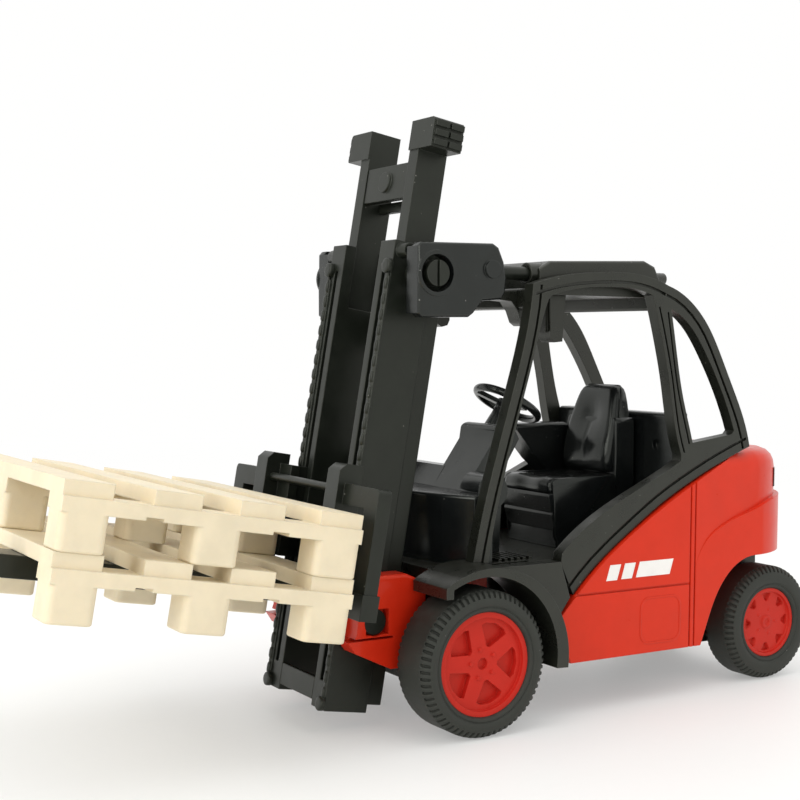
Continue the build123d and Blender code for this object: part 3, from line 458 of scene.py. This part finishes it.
def make_chain(side):
    """Moulded lift chain: overlapping links on a backing strip, with a round anchor at each end."""
    y = side * 6.27
    mesh = bmesh.new()
    pitch, first, links = 1.62, 2.15, 27
    pill(mesh, (0.05, y, 23.4), (0.09, 0.44, 22.1), power=8)
    for n in range(links):
        v = first + pitch * n
        pill(mesh, (0.13, y, v), (0.27, 0.33, 0.66), power=2.8)
        pill(mesh, (0.10, y + 0.05 * side, v + pitch / 2), (0.17, 0.22, 0.42), power=2.6)
    disc(mesh, (0.0, side * 6.2, 46.1), 0.80, 0.58)
    disc(mesh, (0.0, side * 6.0, 0.97), 0.74, 0.52)
    label = SIDE_NAME[side]
    piece(f"chain_links_{label}", mesh, FINISH["mast_plastic"], "mast",
          (f"chain_strip_{label}",))


make_chain(1)
make_chain(-1)


# ---------------------------------------------------------------- generic mark and flap line on the body sides
def slab(mesh, outline, y0, y1):
    """A flat plate from (x, z) points in truck millimetres."""
    back = [mesh.verts.new(truck(x, y0, z)) for x, z in outline]
    front = [mesh.verts.new(truck(x, y1, z)) for x, z in outline]
    count = len(outline)
    mesh.faces.new(back)
    mesh.faces.new(front[::-1])
    for n in range(count):
        m = (n + 1) % count
        mesh.faces.new((back[n], back[m], front[m], front[n]))


def body_marks(side):
    """A plain mark of slanted bars, as a stand-in for printing, on one side of the body."""
    y0, y1 = side * 12.73, side * 12.80
    lean, height = 0.55, 1.7
    mesh = bmesh.new()
    for x, width in ((-17.9, 1.5), (-20.0, 1.5), (-22.1, 4.9)):
        base = 14.05 - 0.02 * (x + 18)
        top = base + height
        slab(mesh, [(x, base), (x - width, base), (x - width - lean, top), (x - lean, top)], y0, y1)
    piece(f"side_mark_{SIDE_NAME[side]}", mesh, MARK_WHITE, "chassis", smooth=False)


def rounded_square(x0, x1, z0, z1, radius):
    """The outline of a rectangle with rounded corners, as (x, z) points."""
    steps = 6
    points = []
    for cx, cz, start in ((x1 - radius, z1 - radius, 0), (x0 + radius, z1 - radius, 90),
                          (x0 + radius, z0 + radius, 180), (x1 - radius, z0 + radius, 270)):
        for n in range(steps + 1):
            angle = math.radians(start + 90 * n / steps)
            points.append((cx + radius * math.cos(angle), cz + radius * math.sin(angle)))
    return points


def filler_flap(side):
    """The faint raised outline of a flap in the body side."""
    mesh = bmesh.new()
    outer = rounded_square(-28.8, -22.8, 6.5, 11.8, 1.3)
    inner = rounded_square(-28.55, -23.05, 6.75, 11.55, 1.1)
    rings = []
    for points, y in ((outer, 12.72), (outer, 12.79), (inner, 12.79), (inner, 12.72)):
        rings.append([truck(x, side * y, z) for x, z in points])
    skin_rings(mesh, rings, loop=True)
    piece(f"flap_outline_{SIDE_NAME[side]}", mesh, FINISH["red_paint"], "chassis")


for side in (1, -1):
    body_marks(side)
    filler_flap(side)


# ---------------------------------------------------------------- seat and cab lining
# level sections as (z, front x, rear x, half width)
PAD_SECTIONS = [
    (24.82, -25.45, -26.1, 3.80), (24.9, -25.15, -26.3, 4.0), (25.3, -24.85, -26.4, 4.15),
    (26.2, -24.70, -26.4, 4.22), (27.2, -24.80, -26.5, 4.25), (28.2, -24.98, -26.7, 4.25),
    (29.2, -25.20, -26.9, 4.22), (30.2, -25.45, -27.1, 4.14), (31.0, -25.66, -27.3, 4.02),
    (31.8, -25.88, -27.5, 3.86), (32.6, -26.10, -27.7, 3.70), (33.4, -26.34, -27.9, 3.53),
    (34.0, -26.56, -28.0, 3.38), (34.45, -26.80, -28.05, 3.2), (34.75, -27.05, -28.05, 3.0),
    (34.92, -27.35, -28.0, 2.75), (34.98, -27.6, -27.9, 2.4),
]
SHELL_SECTIONS = [
    (16.65, -25.9, -29.1, 4.45), (20.0, -25.9, -29.1, 4.5), (25.0, -25.9, -29.1, 4.5),
    (30.5, -25.9, -29.05, 4.5), (31.0, -25.95, -29.0, 4.42), (31.18, -26.1, -28.85, 4.25),
]
SHELL_TOP_SECTIONS = [
    (30.6, -26.6, -28.5, 4.32), (31.8, -26.9, -28.6, 4.05), (33.0, -27.2, -28.65, 3.72),
    (34.0, -27.45, -28.6, 3.46), (34.5, -27.6, -28.5, 3.25), (34.85, -27.75, -28.3, 2.95),
    (34.98, -27.85, -28.15, 2.6),
]
FLANK = [(-17.05, 18.0), (-16.95, 21.5), (-16.72, 23.6), (-16.78, 24.15), (-17.0, 24.42), (-17.4, 24.55),
         (-25.4, 24.6), (-25.85, 24.5), (-25.95, 24.2), (-25.95, 16.7), (-17.6, 16.7)]
SQUAB_TOP = ((-18.6, 0.03), (-20.0, 0.16), (-21.6, 0.26), (-23.2, 0.22), (-24.6, 0.02), (-25.7, -0.15))
FRONT_STEPS, REAR_STEPS, SQUAB_STEPS = 48, 12, 40


def hump(value, middle, width):
    """1 at the middle, falling smoothly to 0 on both sides."""
    return math.exp(-((value - middle) / width) ** 2)


def pad_relief(y, z):
    """How far the pad's front stands forward: a dish at the shoulders, a centre seam and two lower lobes."""
    back = 0.50 * hump(y, 0, 1.7) * hump(z, 31.4, 1.4) + 0.11 * hump(y, 0, 0.22) * hump(z, 28.8, 2.4)
    forward = 0.14 * (hump(y, 2.0, 1.3) + hump(y, -2.0, 1.3)) * hump(z, 27.2, 1.7)
    return forward - back


def backrest_ring(z, front, back, half, edge, shaped=False):
    """A level ring round the backrest: a rounded front from side to side, then a flatter rear."""
    ring = []
    for n in range(FRONT_STEPS + 1):
        y = half * math.sin(math.pi * (n / FRONT_STEPS - 0.5))
        into = max(0.0, (abs(y) - (half - edge)) / edge)
        x = front - edge * 0.8 * (1 - math.sqrt(max(0.0, 1 - into * into)))
        if shaped:
            x += pad_relief(y, z)
        ring.append(truck(x, y, z))
    for n in range(REAR_STEPS + 1):
        y = half * (1 - n / (REAR_STEPS / 2))
        into = max(0.0, abs(y) / half - 0.8) / 0.2
        ring.append(truck(back + 0.35 * into * into, y * 0.985, z))
    return ring


def eased_plate(mesh, outline, y0, y1, edge=0.12):
    """A plate from (x, z) points with its outer rim eased on the y1 side."""
    middle = (sum(x for x, _ in outline) / len(outline), sum(z for _, z in outline) / len(outline))
    inner = []
    for x, z in outline:
        away = Vector((x - middle[0], z - middle[1]))
        pulled = away * (1 - edge / away.length)
        inner.append((middle[0] + pulled.x, middle[1] + pulled.y))
    step = math.copysign(edge, y1 - y0)
    levels = ((outline, y0), (outline, y1 - step), (inner, y1))
    skin_rings(mesh, [[truck(x, y, z) for x, z in points] for points, y in levels])


def make_backrest():
    mesh = bmesh.new()
    skin_rings(mesh, [backrest_ring(*row, 0.9 if row[3] > 2.5 else 0.5, shaped=True) for row in PAD_SECTIONS])
    pad = piece("seat_back_pad", mesh, FINISH["cab_plastic"], "chassis")
    mesh = bmesh.new()
    skin_rings(mesh, [backrest_ring(*row, 0.25) for row in SHELL_SECTIONS])
    skin_rings(mesh, [backrest_ring(*row, 0.2) for row in SHELL_TOP_SECTIONS])
    for sign in (1, -1):
        eased_plate(mesh, FLANK, sign * 4.3, sign * 4.68)
    piece("seat_shell", mesh, FINISH["cab_plastic"], "chassis")
    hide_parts("seat_back")


def make_squab():
    """Seat squab: sections from side to side, with two lobes at its front and a dip in its top."""
    rings = []
    for n in range(SQUAB_STEPS + 1):
        y = 4.45 * math.sin(math.pi * (n / SQUAB_STEPS - 0.5))
        end = 0.5 * max(0.0, (abs(y) - 4.0) / 0.45) ** 2
        lobe = hump(abs(y), 2.3, 1.45)
        nose = -16.45 + 0.16 * lobe - end
        crown = 24.50 + 0.12 * lobe - end * 0.6
        low = 22.72 + end * 0.4
        ring = [(-25.7, low), (nose - 0.5, low), (nose - 0.16, low + 0.12), (nose, low + 0.5),
                (nose - 0.02, crown - 0.9), (nose - 0.14, crown - 0.5), (nose - 0.4, crown - 0.2),
                (nose - 0.9, crown)]
        ring += [(x, crown - dip * (1 - 0.5 * (y / 4.5) ** 2)) for x, dip in SQUAB_TOP]
        rings.append([truck(x, y, z) for x, z in ring])
    mesh = bmesh.new()
    skin_rings(mesh, rings)
    piece("seat_squab", mesh, FINISH["cab_plastic"], "chassis", ("seat_cushion",))


def cab_lining(side):
    """Black inner face of the cab tub, over the shell's inner wall and up to the guard's sill."""
    outline = [(-17.6, 16.65), (-17.6, 17.3), (-22.6, 20.9), (-25.3, 22.6), (-29.4, 24.6), (-29.4, 16.65)]
    mesh = bmesh.new()
    eased_plate(mesh, outline, side * 11.42, side * 11.30, edge=0.05)
    piece(f"cab_lining_{SIDE_NAME[side]}", mesh, FINISH["cab_plastic"], "chassis",
          smooth=False)


make_backrest()
make_squab()
for side in (1, -1):
    cab_lining(side)


# ---------------------------------------------------------------- floor, light and camera
FLOOR_SIZE = 6.0           # half side
FLOOR_GAP = 0.00002        # keeps the floor clear of the tyres' lowest points


def make_floor():
    """A pale paper floor that glows, a painted light: a 0.30 share of white glow near the truck lightens the
    shade under it, and away from the truck it fades to the white of the background.
    """
    material = bpy.data.materials.new("studio_floor")
    material.use_nodes = True
    g = Graph(material)
    coords = g.node("ShaderNodeTexCoord").outputs["Object"]
    paper = g.noise(g.millimetres(coords), 0.8, 3.0)
    tone = g.mix(paper, (0.87, 0.87, 0.85, 1), (0.89, 0.89, 0.87, 1))
    shader = g.node("ShaderNodeBsdfPrincipled", Roughness=0.5)
    g.feed(shader.inputs["Base Color"], tone)
    g.feed(shader.inputs["Specular IOR Level"], 0.3)
    reach = g.node("ShaderNodeVectorMath", {"operation": "LENGTH"}, Vector=coords).outputs["Value"]
    floor_glow = g.node("ShaderNodeEmission", Color=(1, 1, 0.995, 1), Strength=1.0)
    # Painted light: the floor's glow is a 0.30 share near the truck, lifting its shadow, and rises to full
    # glow away from it.
    blend = g.node("ShaderNodeMixShader", Fac=g.remap(reach, 0.08, 0.40, 0.30, 1.0))
    g.feed(blend.inputs[1], shader.outputs[0])
    g.feed(blend.inputs[2], floor_glow.outputs[0])
    g.feed(g.node("ShaderNodeOutputMaterial").inputs["Surface"], blend.outputs[0])
    mesh = bmesh.new()
    bmesh.ops.create_grid(mesh, x_segments=8, y_segments=8, size=FLOOR_SIZE)
    data = bpy.data.meshes.new("floor")
    mesh.to_mesh(data)
    mesh.free()
    data.materials.append(material)
    floor = bpy.data.objects.new("floor", data)
    bpy.context.scene.collection.objects.link(floor)
    floor.location.z = -FLOOR_GAP


def area_light(name, place, target, size, power, color=(1, 1, 1)):
    data = bpy.data.lights.new(name, "AREA")
    data.shape = "RECTANGLE"
    data.size, data.size_y = size
    data.energy = power
    data.color = color
    light = bpy.data.objects.new(name, data)
    light.location = place
    light.rotation_euler = (Vector(target) - Vector(place)).to_track_quat("-Z", "Y").to_euler()
    bpy.context.scene.collection.objects.link(light)


def make_light():
    world = bpy.data.worlds.new("studio")
    bpy.context.scene.world = world
    world.use_nodes = True
    world.node_tree.nodes["Background"].inputs[0].default_value = (1.0, 1.0, 0.995, 1.0)
    world.node_tree.nodes["Background"].inputs[1].default_value = 1.0
    aim = (0, 0, 0.025)
    area_light("key", (0.34, 0.08, 0.20), aim, (0.25, 0.30), 0.75, (1.0, 0.99, 0.97))
    area_light("top", (-0.05, 0.02, 0.42), aim, (0.45, 0.35), 0.35)


def make_camera():
    data = bpy.data.cameras.new("camera")
    data.lens = 62.5
    data.sensor_width = 36
    data.shift_x = 0.0126
    data.shift_y = 0.0011
    data.clip_start = 0.005
    data.clip_end = 20
    camera = bpy.data.objects.new("camera", data)
    place, target = truck(79.72, 128.89, 39.81), truck(2.04, 0.0, 33.4)
    look = (target - place).to_track_quat("-Z", "Y").to_matrix()
    roll = Matrix.Rotation(math.radians(0.53), 3, "Z")
    camera.matrix_world = Matrix.Translation(place) @ (look @ roll).to_4x4()
    bpy.context.scene.collection.objects.link(camera)
    bpy.context.scene.camera = camera


make_floor()
make_light()
make_camera()
bpy.context.scene.view_settings.view_transform = "Standard"
